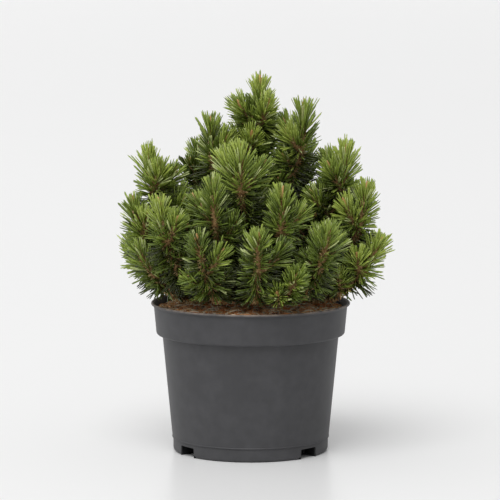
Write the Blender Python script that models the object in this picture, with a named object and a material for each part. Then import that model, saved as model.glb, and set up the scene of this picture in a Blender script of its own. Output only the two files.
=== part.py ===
# A dwarf mugo pine in a round nursery pot, as closed solids at their real size.
# Sizes are in millimetres here and become metres when a mesh is made.
# The frame: +Z up, the floor at zero, the pot's axis on Z, the side seen first faces -Y.
# An azimuth is counted from -Y towards +X.
import math

import bmesh
import bpy
import numpy as np
from mathutils import Matrix, Vector

MM = 0.001
CLEAR = 0.3

# Pot
POT_SIDES = 36
POT_HEIGHT = 142.7
LIP_RADIUS = 95.0
LIP_DEPTH = 4.0
LIP_WIDTH = 2.6
BAND_TOP_RADIUS = 92.4
BAND_FOOT_RADIUS = 90.1
BAND_FOOT_Z = 112.0
BAND_CORNER = 2.5
WALL_TOP_RADIUS = 84.1
WALL_TOP_Z = 110.0
WALL_FOOT_RADIUS = 74.9
WALL_FOOT_Z = 13.3
FOOT_RADIUS = 74.1
FOOT_STEP = 1.0
FOOT_CORNER = 3.1
POT_WALL = 1.5
NOTCH_AZIMUTHS = (48.0, 131.0, 228.0, 305.5)
NOTCH_WIDTH = 15.0
NOTCH_HEIGHT = 9.5
NOTCH_DEPTH = 8.0
DRAIN_RING_RADIUS = 46.0
DRAIN_RADIUS = 4.5
DRAIN_COUNT = 4

# Soil
SOIL_SIDES = 18
SOIL_RIM_Z = 135.0
SOIL_TOP_Z = 139.0
SOIL_FLAT_RADIUS = 18.0

# Trunk
TRUNK_SIDES = 10
TRUNK_RINGS = 9
TRUNK_TIP_Z = 236.0
TRUNK_FOOT_RADIUS = 6.4
TRUNK_TIP_RADIUS = 2.8
FLARE = 4.2
FLARE_HEIGHT = 8.0
FLARE_LOBES = 3
LOBE_DEPTH = 0.2
LOBE_HEIGHT = 5.0
TRUNK_LEAN = 7.0
TRUNK_SWAY = 3.0

# Boughs: each row is the azimuth, reach and height of its leading shoot's tip, and its side shoots.
BOUGHS = {
    "top": ((90, 9, 360, 4), (84, 51, 338, 3), (270, 38, 326, 3), (190, 40, 324, 3)),
    "upper": ((351, 61, 304, 3), (276, 98, 296, 3), (84, 92, 301, 3), (140, 84, 300, 4),
              (218, 84, 297, 4)),
    "middle": ((22, 81, 266, 2), (80, 112, 265, 2), (335, 83, 274, 2), (280, 114, 252, 2),
               (309, 111, 255, 2), (116, 112, 257, 3), (165, 112, 262, 3), (228, 112, 256, 3)),
    "low": ((332, 108, 227, 2), (4, 109, 230, 2), (41, 113, 233, 2), (77, 130, 216, 3),
            (294, 121, 211, 2), (261, 122, 212, 3), (108, 124, 211, 3), (146, 121, 214, 3),
            (188, 122, 210, 3), (226, 121, 213, 3), (23, 118, 192, 1)),
}
BOUGH_SIDES = 5
BOUGH_RINGS = 6
BOUGH_FOOT_RADIUS = 2.6
BOUGH_TIP_RADIUS = 1.7
BOUGH_FOOT_Z = {"low": 147.5, "middle": 168.0, "upper": 188.0, "top": 208.0}
BOUGH_STEPS = 3
BOUGH_STEP = 6.4
BOUGH_LEAVE = 0.25
# The least gap between a bough's foot and the trunk's flat-sided surface is about half of this.
SEAT = 0.55

# Shoots: a stem carries a leader and a whorl of side shoots at its top, and one more near its foot.
LEADER_LENGTH = 52.0
SIDE_LENGTH = 0.86
STEM_LENGTH = 32.0
STEM_FOOT_Z = 151.0
LOWER_SIDES = 2
LOWER_WHORL = 5.0
STEM_RADIUS = 1.5
STEM_INTO = 4.0
LEADER_WAIST = 2.4
# A leader's tilt in degrees: a little for each millimetre of reach, and more low down.
# Its stem comes out flatter and the leader turns up from it.
UPRIGHT_Z = 300.0
TILT_PER_REACH = 0.06
LOW_TILT = 42.0
LOW_TILT_SPAN = 110.0
LOW_TILT_POWER = 2.7
STEM_TILT = 20.0
# A side shoot's angle from its leader, how many are tried, and the room that one needs.
SPREAD = (34.0, 62.0)
CHOICES = 40
LEAST_ROOM = 18.5
LOWEST_TIP = 15.0
# How much a side shoot turns up, and how far out it may reach beside its own leader.
UPTURN = 0.45
SIDE_REACH = 0.97
LEAST_REACH = 45.0
# A shoot's slim core, as shares of its length, with the needles that stand out of each band:
# two bands on a stem, then one at a leader's foot, then three on every shoot.
CORE_PLACES = (0.14, 0.46, 0.74)
CORE_RADII = (2.2, 4.6, 3.6)
CORE_SIDES = 5
APEX_BACK = 8.0
NEEDLE_LEAN = (98.0, 92.0, 84.0, 64.0, 48.0, 28.0)
NEEDLE_LENGTH = (13.0, 14.0, 14.0, 17.5, 18.5, 15.0)
NEEDLE_JITTER = 9.0
SHORTEST_NEEDLE = 0.4

# The space of each mass: how much nearer it is to its own shoots than to another mass's.
SPACE_GAP = 2.3
SISTER_GAP = 0.2
LIMB_GAP = 1.2
SOIL_GAP = 3.0
CROWN_RADIUS = 126.0
CROWN_WAIST_Z = 205.0
CROWN_TOP_Z = 352.0
CROWN_POWER = 2.3
CROWN_UNDERCUT = 0.35
CROWN_SKIN = 5.0
SEED = 7


def material(name, colour, roughness):
    made = bpy.data.materials.new(name)
    made.use_nodes = True
    shader = made.node_tree.nodes["Principled BSDF"]
    shader.inputs["Base Color"].default_value = (*colour, 1.0)
    shader.inputs["Roughness"].default_value = roughness
    shader.inputs["Metallic"].default_value = 0.0
    return made


def object_from(mesh_data, name, finish):
    mesh = bpy.data.meshes.new(name)
    bmesh.ops.scale(mesh_data, vec=(MM, MM, MM), verts=mesh_data.verts)
    mesh_data.to_mesh(mesh)
    mesh_data.free()
    mesh.materials.append(finish)
    made = bpy.data.objects.new(name, mesh)
    bpy.context.scene.collection.objects.link(made)
    return made


def arc(centre_r, centre_z, radius, start, end, steps):
    angles = [math.radians(start + (end - start) * k / steps) for k in range(steps + 1)]
    return [(centre_r + radius * math.cos(a), centre_z + radius * math.sin(a)) for a in angles]


def offset_line(points, distance):
    # Moves an open outline sideways to its left, with mitred corners.
    normals = []
    for (r0, z0), (r1, z1) in zip(points, points[1:]):
        length = math.hypot(r1 - r0, z1 - z0)
        normals.append((-(z1 - z0) / length, (r1 - r0) / length))
    moved = []
    for k, (r, z) in enumerate(points):
        before = normals[max(k - 1, 0)]
        after = normals[min(k, len(normals) - 1)]
        total = (before[0] + after[0], before[1] + after[1])
        scale = distance * 2.0 / (total[0] ** 2 + total[1] ** 2)
        moved.append((r + total[0] * scale, z + total[1] * scale))
    return moved


def lathe(outline, sides):
    # Turns an outline that starts and ends on the axis into a closed round body.
    body = bmesh.new()
    line = [body.verts.new((r, 0.0, z)) for r, z in outline]
    edges = [body.edges.new(pair) for pair in zip(line, line[1:])]
    bmesh.ops.spin(body, geom=line + edges, cent=(0, 0, 0), axis=(0, 0, 1),
                   angle=2.0 * math.pi, steps=sides, use_merge=True)
    bmesh.ops.remove_doubles(body, verts=body.verts, dist=0.001)
    bmesh.ops.recalc_face_normals(body, faces=body.faces)
    return body


# Pot and soil

def pot_skin(rounding):
    # The pot's outside, from the middle of its underside up to the lip.
    skin = [(0.0, 0.0)]
    skin += arc(FOOT_RADIUS - FOOT_CORNER - 0.4, FOOT_CORNER, FOOT_CORNER, -90, 0, rounding)
    skin.append((FOOT_RADIUS, WALL_FOOT_Z - FOOT_STEP))
    skin.append((WALL_FOOT_RADIUS, WALL_FOOT_Z))
    skin.append((WALL_TOP_RADIUS, WALL_TOP_Z))
    skin.append((WALL_TOP_RADIUS + 0.9, BAND_FOOT_Z - 0.5))
    skin += arc(BAND_FOOT_RADIUS - BAND_CORNER, BAND_FOOT_Z + BAND_CORNER, BAND_CORNER, -90, -4, rounding)
    skin.append((BAND_TOP_RADIUS, POT_HEIGHT - LIP_DEPTH - 0.3))
    return skin


def cutter(name, body):
    made = object_from(body, name, bpy.data.materials["pot_plastic"])
    made.hide_render = True
    made.display_type = "WIRE"
    return made


def notch_cutter(azimuth):
    body = bmesh.new()
    half = 0.5 * NOTCH_WIDTH
    corners = []
    for z in (-1.0, NOTCH_HEIGHT):
        for r, side in ((FOOT_RADIUS - NOTCH_DEPTH, -1), (FOOT_RADIUS + 6.0, -1),
                        (FOOT_RADIUS + 6.0, 1), (FOOT_RADIUS - NOTCH_DEPTH, 1)):
            angle = math.radians(azimuth + side * half - 90.0)
            corners.append(body.verts.new((r * math.cos(angle), r * math.sin(angle), z)))
    low, high = corners[:4], corners[4:]
    body.faces.new(low)
    body.faces.new(high)
    for k in range(4):
        n = (k + 1) % 4
        body.faces.new((low[k], low[n], high[n], high[k]))
    bmesh.ops.recalc_face_normals(body, faces=body.faces)
    return cutter(f"notch_cutter_{azimuth:.0f}", body)


def drain_cutter(number):
    angle = 2.0 * math.pi * number / DRAIN_COUNT
    place = Matrix.Translation((DRAIN_RING_RADIUS * math.cos(angle),
                                DRAIN_RING_RADIUS * math.sin(angle), 0.0))
    body = bmesh.new()
    bmesh.ops.create_cone(body, cap_ends=True, segments=8, radius1=DRAIN_RADIUS,
                          radius2=DRAIN_RADIUS, depth=4.0 * POT_WALL, matrix=place)
    return cutter(f"drain_cutter_{number}", body)


def apply_modifiers(made):
    bpy.context.view_layer.objects.active = made
    with bpy.context.temp_override(object=made, active_object=made, selected_objects=[made]):
        for name in [m.name for m in made.modifiers]:
            bpy.ops.object.modifier_apply(modifier=name)


def join_by(made, others, operation, solver):
    # One Boolean on a collection, applied, with the collection's objects then removed.
    group = bpy.data.collections.new("cut_or_join")
    for other in others:
        group.objects.link(other)
    step = made.modifiers.new("join", "BOOLEAN")
    step.operation = operation
    step.operand_type = "COLLECTION"
    step.collection = group
    step.solver = solver
    apply_modifiers(made)
    for other in others:
        bpy.data.objects.remove(other)
    bpy.data.collections.remove(group)


def make_pot():
    finish = material("pot_plastic", (0.075, 0.077, 0.08), 0.45)
    skin = pot_skin(3)
    lip_foot = POT_HEIGHT - LIP_DEPTH
    lip = [(LIP_RADIUS - 1.4, lip_foot), (LIP_RADIUS - 0.3, lip_foot + 0.9)]
    lip += [(LIP_RADIUS, POT_HEIGHT - 1.6), (LIP_RADIUS - 0.8, POT_HEIGHT - 0.3)]
    lip += [(LIP_RADIUS - 1.8, POT_HEIGHT), (LIP_RADIUS - LIP_WIDTH, POT_HEIGHT - 0.7)]
    inside = offset_line(pot_skin(1), POT_WALL)
    inside[0] = (0.0, POT_WALL)
    pot = object_from(lathe(skin + lip + inside[::-1], POT_SIDES), "pot", finish)
    cutters = [notch_cutter(azimuth) for azimuth in NOTCH_AZIMUTHS]
    cutters += [drain_cutter(number) for number in range(DRAIN_COUNT)]
    join_by(pot, cutters, "DIFFERENCE", "EXACT")
    return pot


def make_soil():
    finish = material("peat", (0.09, 0.045, 0.025), 0.95)
    side = offset_line(pot_skin(1), POT_WALL + CLEAR)
    side[0] = (0.0, POT_WALL + CLEAR)
    (r0, z0), (r1, z1) = side[-2:]
    share = (SOIL_RIM_Z - z0) / (z1 - z0)
    side[-1] = (r0 + (r1 - r0) * share, SOIL_RIM_Z)
    top = [(side[-1][0] - 2.0, SOIL_RIM_Z + 1.0), (58.0, SOIL_TOP_Z - 1.6)]
    top += [(SOIL_FLAT_RADIUS, SOIL_TOP_Z), (0.0, SOIL_TOP_Z)]
    return object_from(lathe(side + top, SOIL_SIDES), "soil", finish)


# Trunk and boughs

def trunk_point(z):
    share = (z - SOIL_TOP_Z) / (TRUNK_TIP_Z - SOIL_TOP_Z)
    sway = TRUNK_SWAY * math.sin(math.pi * share)
    return np.array((TRUNK_LEAN * share ** 1.4 - sway, 0.6 * sway, z))


def trunk_radius(z, angle=0.0):
    # The root flare swells into low lobes just above the soil.
    rise = z - SOIL_TOP_Z
    taper = TRUNK_FOOT_RADIUS + (TRUNK_TIP_RADIUS - TRUNK_FOOT_RADIUS) * rise / (TRUNK_TIP_Z - SOIL_TOP_Z)
    lobe = LOBE_DEPTH * math.exp(-rise / LOBE_HEIGHT) * math.cos(FLARE_LOBES * angle)
    return (taper + FLARE * math.exp(-rise / FLARE_HEIGHT)) * (1.0 + lobe)


def unit(vector):
    return vector / np.linalg.norm(vector)


def square_to(direction):
    # Two unit vectors square to a direction and to each other.
    helper = np.array((0.0, 0.0, 1.0)) if abs(direction[2]) < 0.9 else np.array((0.0, -1.0, 0.0))
    first = unit(np.cross(helper, direction))
    return first, np.cross(direction, first)


def ring(body, centre, across, along, radii):
    count = len(radii)
    made = []
    for k, radius in enumerate(radii):
        angle = 2.0 * math.pi * k / count
        spot = centre + (across * math.cos(angle) + along * math.sin(angle)) * radius
        made.append(body.verts.new(spot))
    return made


def bridge(body, low, high):
    count = len(low)
    return [body.faces.new((low[k], low[(k + 1) % count], high[(k + 1) % count], high[k]))
            for k in range(count)]


def make_trunk(finish):
    body = bmesh.new()
    rings = []
    foot = SOIL_TOP_Z + CLEAR
    for k in range(TRUNK_RINGS):
        share = (k / (TRUNK_RINGS - 1)) ** 1.5
        z = foot + (TRUNK_TIP_Z - foot) * share
        radii = [trunk_radius(z, 2.0 * math.pi * j / TRUNK_SIDES) for j in range(TRUNK_SIDES)]
        rings.append(ring(body, trunk_point(z), np.array((1.0, 0.0, 0.0)),
                          np.array((0.0, 1.0, 0.0)), radii))
    for low, high in zip(rings, rings[1:]):
        bridge(body, low, high)
    body.faces.new(rings[0][::-1])
    body.faces.new(rings[-1])
    bmesh.ops.recalc_face_normals(body, faces=body.faces)
    return object_from(body, "trunk", finish)


def around(azimuth, reach, z):
    angle = math.radians(azimuth)
    return np.array((reach * math.sin(angle), -reach * math.cos(angle), z))


class Bough:
    # A limb from the trunk, the stem that carries on from it, and the shoots on that stem.
    def __init__(self, level, number, foot_z, azimuth, reach, height, sides):
        self.name = f"{level}_{number}"
        self.foot_z = foot_z
        self.sides = sides
        self.tip = around(azimuth, reach, height)
        low = max((UPRIGHT_Z - height) / LOW_TILT_SPAN, 0.0) ** LOW_TILT_POWER
        tilt = math.radians(TILT_PER_REACH * reach + LOW_TILT * low)
        self.direction = around(azimuth, math.sin(tilt), math.cos(tilt))
        self.whorl = self.tip - self.direction * LEADER_LENGTH
        flatter = tilt + math.radians(STEM_TILT)
        self.stem_direction = around(azimuth, math.sin(flatter), math.cos(flatter))
        stem = min(STEM_LENGTH, (self.whorl[2] - STEM_FOOT_Z) / self.stem_direction[2])
        self.end = self.whorl - self.stem_direction * stem
        self.lower_whorl = self.end + self.stem_direction * LOWER_WHORL
        self.side_reach = max(reach * SIDE_REACH, LEAST_REACH)
        self.line = self.limb_line()

    def limb_line(self):
        # A smooth curve that leaves the trunk outwards and ends in the stem's direction.
        outward = np.array((self.end[0], self.end[1], 0.0))
        if np.linalg.norm(outward) < 20.0:
            start = trunk_point(TRUNK_TIP_Z) + np.array((0.0, 0.0, CLEAR))
            outward = leave = np.array((0.0, 0.0, 1.0))
        else:
            z = self.foot_z
            middle = trunk_point(z)
            outward = unit(np.array((*(self.end - middle)[:2], 0.0)))
            slope = (self.end[2] - z) / max(np.linalg.norm((self.end - middle)[:2]), 1.0)
            leave = unit(outward + np.array((0.0, 0.0, BOUGH_LEAVE + 0.5 * max(slope, 0.0))))
            start = middle + outward * (trunk_radius(z) + CLEAR)
        span = np.linalg.norm(self.end - start)
        shares = np.linspace(0.0, 1.0, BOUGH_RINGS)[:, None]
        a = start
        b = start + leave * span * 0.35
        c = self.end - (self.stem_direction + outward) * span * 0.15
        d = self.end - self.stem_direction * CLEAR
        rest = 1.0 - shares
        return (a * rest ** 3 + 3 * b * shares * rest ** 2 + 3 * c * shares ** 2 * rest
                + d * shares ** 3)

    def radii(self):
        return np.linspace(BOUGH_FOOT_RADIUS, BOUGH_TIP_RADIUS, BOUGH_RINGS)


def seat_on_trunk(verts, outward):
    # Slides a limb's first ring along its heading until it fits the trunk's surface.
    for vert in verts:
        axis = trunk_point(vert.co.z)
        offset = np.array((vert.co.x - axis[0], vert.co.y - axis[1], 0.0))
        away = trunk_radius(vert.co.z, math.atan2(offset[1], offset[0])) + SEAT
        part = np.dot(offset, outward)
        slide = math.sqrt(part * part - np.dot(offset, offset) + away * away) - part
        vert.co += Vector(outward * slide)


def make_bough(bough, finish):
    body = bmesh.new()
    line = bough.line
    rings = []
    for k, (centre, radius) in enumerate(zip(line, bough.radii())):
        heading = unit(line[min(k + 1, len(line) - 1)] - line[max(k - 1, 0)])
        if k == len(line) - 1:
            heading = bough.stem_direction
        across, along = square_to(heading)
        if rings:
            # Keeps the corners of one ring in step with those of the last.
            across = unit(last - heading * np.dot(last, heading))
            along = np.cross(heading, across)
        last = across
        rings.append(ring(body, centre, across, along, [radius] * BOUGH_SIDES))
    for low, high in zip(rings, rings[1:]):
        bridge(body, low, high)
    foot = body.faces.new(rings[0][::-1])
    heading = unit(line[1] - line[0])
    if heading[2] < 0.9:
        outward = unit(np.array((heading[0], heading[1], 0.0)))
        seat_on_trunk(rings[0], outward)
        seat_on_trunk(bmesh.ops.poke(body, faces=[foot])["verts"], outward)
    body.faces.new(rings[-1])
    bmesh.ops.recalc_face_normals(body, faces=body.faces)
    return object_from(body, f"bough_{bough.name}", finish)


# Shoots, and the space that each mass keeps to

class Shoot:
    def __init__(self, owner, start, end, kind):
        self.owner = owner
        self.start = start
        self.end = end
        self.kind = kind
        self.direction = unit(end - start)
        self.length = float(np.linalg.norm(end - start))


def distances(points, starts, ends):
    # From each point to each straight piece.
    along = ends - starts
    share = ((points[:, None] - starts) * along).sum(2) / (along * along).sum(1)
    share = np.clip(share, 0.0, 1.0)[..., None]
    return np.linalg.norm(points[:, None] - starts - along * share, axis=2)


class Space:
    # Which mass a place belongs to: the one whose shoots are nearest, clear of every limb.
    def __init__(self, boughs):
        self.shoots = []
        starts, ends, radii, owners = [], [], [], []
        for number, bough in enumerate(boughs):
            thick = bough.radii()
            for k in range(BOUGH_RINGS - 1):
                starts.append(bough.line[k])
                ends.append(bough.line[k + 1])
                radii.append(thick[k])
                owners.append(number)
        levels = np.linspace(SOIL_TOP_Z, TRUNK_TIP_Z, 8)
        for low, high in zip(levels, levels[1:]):
            starts.append(trunk_point(low))
            ends.append(trunk_point(high))
            radii.append(trunk_radius(low))
            owners.append(-1)
        self.limb_starts = np.array(starts)
        self.limb_ends = np.array(ends)
        self.limb_radii = np.array(radii)
        self.limb_owners = np.array(owners)

    def axes(self):
        starts = np.array([shoot.start for shoot in self.shoots])
        ends = np.array([shoot.end for shoot in self.shoots])
        owners = np.array([shoot.owner for shoot in self.shoots])
        return starts, ends, owners

    def limb_room(self, points, owner=None):
        away = distances(points, self.limb_starts, self.limb_ends) - self.limb_radii
        if owner is not None:
            away = away[:, self.limb_owners != owner]
        return away.min(axis=1)

    def other_room(self, points, owner):
        starts, ends, owners = self.axes()
        away = distances(points, starts, ends)
        return away[:, owners != owner].min(axis=1)

    def holds(self, points, shoot):
        starts, ends, owners = self.axes()
        away = distances(points, starts, ends)
        mine = distances(points, shoot.start[None], shoot.end[None])[:, 0]
        others = away[:, owners != shoot.owner].min(axis=1)
        sisters = away[:, owners == shoot.owner].min(axis=1)
        clear = (others - mine > SPACE_GAP) & (sisters > mine - SISTER_GAP)
        clear &= self.limb_room(points) > LIMB_GAP
        reach = np.hypot(points[:, 0], points[:, 1])
        over_pot = reach < LIP_RADIUS + 4.0
        floor = np.where(over_pot, np.where(reach > 84.0, POT_HEIGHT, SOIL_TOP_Z), 0.0)
        return clear & (points[:, 2] > floor + SOIL_GAP)


def crown_radius(z):
    if z < CROWN_WAIST_Z:
        return CROWN_RADIUS - CROWN_UNDERCUT * (CROWN_WAIST_Z - z)
    share = min((z - CROWN_WAIST_Z) / (CROWN_TOP_Z - CROWN_WAIST_Z), 1.0)
    return CROWN_RADIUS * math.sqrt(1.0 - share ** CROWN_POWER)


def side_shoot(space, number, bough, foot, chance):
    # Of several seeded directions round the leader, the one with the most room is kept.
    across, along = square_to(bough.direction)
    best, most = None, LEAST_ROOM
    starts, ends, owners = space.axes()
    for _ in range(CHOICES):
        turn = chance.uniform(0.0, 2.0 * math.pi)
        spread = math.radians(chance.uniform(*SPREAD))
        outwards = across * math.cos(turn) + along * math.sin(turn)
        heading = bough.direction * math.cos(spread) + outwards * math.sin(spread)
        heading = unit(heading + np.array((0.0, 0.0, UPTURN)))
        length = LEADER_LENGTH * SIDE_LENGTH * chance.uniform(0.88, 1.1)
        end = foot + heading * length
        widest = min(crown_radius(end[2]) - CROWN_SKIN, bough.side_reach)
        if math.hypot(end[0], end[1]) > widest or end[2] < SOIL_TOP_Z + LOWEST_TIP:
            continue
        places = foot + np.outer((0.5, 0.75, 1.0), heading * length)
        away = distances(places, starts, ends)
        others = away[:, owners != number].min()
        sisters = away[2, owners == number].min()
        limbs = space.limb_room(places, number).min() + 4.0
        room = min(others, sisters, limbs)
        if room > most:
            best, most = end, room
    return best


def grow_shoots(boughs, chance):
    space = Space(boughs)
    for number, bough in enumerate(boughs):
        space.shoots.append(Shoot(number, bough.end, bough.whorl, "stem"))
        space.shoots.append(Shoot(number, bough.whorl, bough.tip, "leader"))
    for order in range(max(bough.sides for bough in boughs) + LOWER_SIDES):
        for number, bough in enumerate(boughs):
            if order < bough.sides + LOWER_SIDES:
                foot = bough.whorl if order < bough.sides else bough.lower_whorl
                end = side_shoot(space, number, bough, foot, chance)
                if end is not None:
                    space.shoots.append(Shoot(number, foot, end, "side"))
    return space


def core_rings(shoot, space):
    # The centre and radius of each ring of the slim core, kept inside the mass's space.
    if shoot.kind == "stem":
        places = [shoot.start, 0.5 * (shoot.start + shoot.end), shoot.end]
        radii = [STEM_RADIUS, LEADER_WAIST, LEADER_WAIST]
    else:
        places = [shoot.start + shoot.direction * shoot.length * share for share in (0.0, *CORE_PLACES)]
        radii = [LEADER_WAIST if shoot.kind == "leader" else STEM_RADIUS, *CORE_RADII]
    spots = np.array(places)
    most = 0.5 * (space.other_room(spots, shoot.owner) - SPACE_GAP)
    most = np.minimum(most, space.limb_room(spots, shoot.owner) - LIMB_GAP)
    return places, [max(min(radius, room), 1.0) for radius, room in zip(radii, most)]


def needle_end(space, shoot, start, end):
    # How far a needle goes before it would leave the mass's space, or nothing if too soon.
    shares = np.linspace(0.2, 1.0, 9)
    inside = space.holds(start + np.outer(shares, end - start), shoot)
    good = len(shares) if inside.all() else int(np.argmin(inside))
    if good == 0 or shares[good - 1] < SHORTEST_NEEDLE:
        return None
    return start + (end - start) * shares[good - 1]


def shoot_body(shoot, space, chance):
    body = bmesh.new()
    across, along = square_to(shoot.direction)
    twist = chance.uniform(0.0, math.pi)
    across, along = (across * math.cos(twist) + along * math.sin(twist),
                     along * math.cos(twist) - across * math.sin(twist))
    places, radii = core_rings(shoot, space)
    rings = [ring(body, place, across, along, [radius] * CORE_SIDES)
             for place, radius in zip(places, radii)]
    bands = [bridge(body, low, high) for low, high in zip(rings, rings[1:])]
    past = STEM_INTO if shoot.kind == "stem" else -APEX_BACK
    apex = body.verts.new(shoot.end + shoot.direction * past)
    cap = [body.faces.new((rings[-1][k], rings[-1][(k + 1) % CORE_SIDES], apex))
           for k in range(CORE_SIDES)]
    body.faces.new(rings[0][::-1])
    kinds = list(zip(NEEDLE_LEAN, NEEDLE_LENGTH))
    if shoot.kind == "stem":
        tufted = bands
    else:
        tufted = (bands if shoot.kind == "leader" else bands[1:]) + [cap]
        kinds = kinds[-len(tufted):]
    for faces, (lean, length) in zip(tufted, kinds):
        for face in faces:
            start = np.array(face.calc_center_median())
            middle = shoot.start + shoot.direction * np.dot(start - shoot.start, shoot.direction)
            angle = math.radians(lean + chance.uniform(-NEEDLE_JITTER, NEEDLE_JITTER))
            heading = unit(start - middle) * math.sin(angle) + shoot.direction * math.cos(angle)
            far = start + heading * length * chance.uniform(0.85, 1.1)
            end = needle_end(space, shoot, start, far)
            if end is not None:
                point = bmesh.ops.poke(body, faces=[face])["verts"][0]
                point.co = Vector(end)
    bmesh.ops.triangulate(body, faces=body.faces)
    bmesh.ops.recalc_face_normals(body, faces=body.faces)
    return body


def keep_largest(made):
    # Drops any loose scrap that the union leaves.
    body = bmesh.new()
    body.from_mesh(made.data)
    bmesh.ops.remove_doubles(body, verts=body.verts, dist=0.002 * MM)
    bmesh.ops.dissolve_degenerate(body, edges=body.edges, dist=0.002 * MM)
    bmesh.ops.triangulate(body, faces=body.faces)
    left = set(body.verts)
    pieces = []
    while left:
        stack = [left.pop()]
        piece = set(stack)
        while stack:
            for edge in stack.pop().link_edges:
                for vert in edge.verts:
                    if vert in left:
                        left.remove(vert)
                        piece.add(vert)
                        stack.append(vert)
        pieces.append(piece)
    pieces.sort(key=len)
    for piece in pieces[:-1]:
        bmesh.ops.delete(body, geom=list(piece), context="VERTS")
    body.to_mesh(made.data)
    body.free()


def make_mass(number, bough, space, finish, chance):
    made = []
    for shoot in space.shoots:
        if shoot.owner == number:
            name = f"shoot_{number}_{len(made)}" if made else f"mass_{bough.name}"
            made.append(object_from(shoot_body(shoot, space, chance), name, finish))
    if len(made) > 1:
        join_by(made[0], made[1:], "UNION", "MANIFOLD")
    keep_largest(made[0])
    return made[0]


def plan_boughs():
    boughs = []
    for level, rows in BOUGHS.items():
        # Neighbours round the trunk leave it at different heights.
        turns = sorted(row[0] for row in rows)
        for number, row in enumerate(rows, start=1):
            foot_z = BOUGH_FOOT_Z[level] + BOUGH_STEP * (turns.index(row[0]) % BOUGH_STEPS)
            boughs.append(Bough(level, number, foot_z, *row))
    return boughs


def main():
    for old in list(bpy.data.objects):
        bpy.data.objects.remove(old)
    make_pot()
    make_soil()
    bark = material("bark", (0.13, 0.085, 0.055), 0.85)
    needles = material("needles", (0.06, 0.12, 0.025), 0.6)
    make_trunk(bark)
    boughs = plan_boughs()
    chance = np.random.default_rng(SEED)
    space = grow_shoots(boughs, chance)
    for bough in boughs:
        make_bough(bough, bark)
    for number, bough in enumerate(boughs):
        make_mass(number, bough, space, needles, chance)


main()
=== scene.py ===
# A dwarf mugo pine in a grey nursery pot: its bark, needles, peat, pot finish and studio.
# Plant sizes are in millimetres until a mesh is made; +Z is up, -Y the side seen first.
import math

import bpy
import numpy as np
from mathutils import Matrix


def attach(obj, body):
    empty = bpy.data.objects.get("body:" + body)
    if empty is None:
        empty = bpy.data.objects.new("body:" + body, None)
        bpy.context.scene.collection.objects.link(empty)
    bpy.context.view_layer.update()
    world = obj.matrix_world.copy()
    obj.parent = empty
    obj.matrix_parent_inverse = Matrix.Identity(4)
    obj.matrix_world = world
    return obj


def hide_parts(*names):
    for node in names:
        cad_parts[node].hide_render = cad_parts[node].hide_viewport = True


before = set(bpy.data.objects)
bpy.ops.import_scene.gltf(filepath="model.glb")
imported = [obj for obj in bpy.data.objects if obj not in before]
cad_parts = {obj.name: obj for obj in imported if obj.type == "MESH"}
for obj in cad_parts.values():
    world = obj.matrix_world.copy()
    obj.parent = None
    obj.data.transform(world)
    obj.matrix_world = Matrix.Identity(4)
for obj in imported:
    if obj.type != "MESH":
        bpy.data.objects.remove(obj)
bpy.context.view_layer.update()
mm = 0.001
golden = math.radians(137.508)
up = np.array((0.0, 0.0, 1.0))
massNodes = [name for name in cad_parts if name.startswith("mass_")]
boughNodes = [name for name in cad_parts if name.startswith("bough_")]


# Materials

def linearColour(hexText):
    # sRGB hex to the linear colour that a shader takes.
    shares = [int(hexText[k:k + 2], 16) / 255 for k in (1, 3, 5)]
    return [s / 12.92 if s <= 0.04045 else ((s + 0.055) / 1.055) ** 2.4 for s in shares] + [1.0]


def link(material, node, links):
    # Each socket is fed by an output, or by a node's first output.
    for name, source in links.items():
        output = source.outputs[0] if hasattr(source, "outputs") else source
        material.node_tree.links.new(output, node.inputs[name])


def addNode(material, kind, values=None, links=None, **settings):
    # Settings are the node's own choices, values its sockets, links what feeds them.
    node = material.node_tree.nodes.new("ShaderNode" + kind)
    for name, setting in settings.items():
        setattr(node, name, setting)
    for name, value in (values or {}).items():
        node.inputs[name].default_value = value
    link(material, node, links or {})
    return node


def startMaterial(name, baseHex, roughness, ior):
    material = bpy.data.materials.new(name)
    material.use_nodes = True
    shader = material.node_tree.nodes["Principled BSDF"]
    shader.inputs["Base Color"].default_value = linearColour(baseHex)
    shader.inputs["Roughness"].default_value = roughness
    shader.inputs["IOR"].default_value = ior
    return material, shader, addNode(material, "TexCoord").outputs["Object"]


def colourRamp(material, factor, stops):
    ramp = addNode(material, "ValToRGB", links={"Fac": factor})
    elements = ramp.color_ramp.elements
    while len(elements) < len(stops):
        elements.new(1.0)
    for element, (place, hexText) in zip(elements, stops):
        element.position = place
        element.color = linearColour(hexText)
    return ramp


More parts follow.
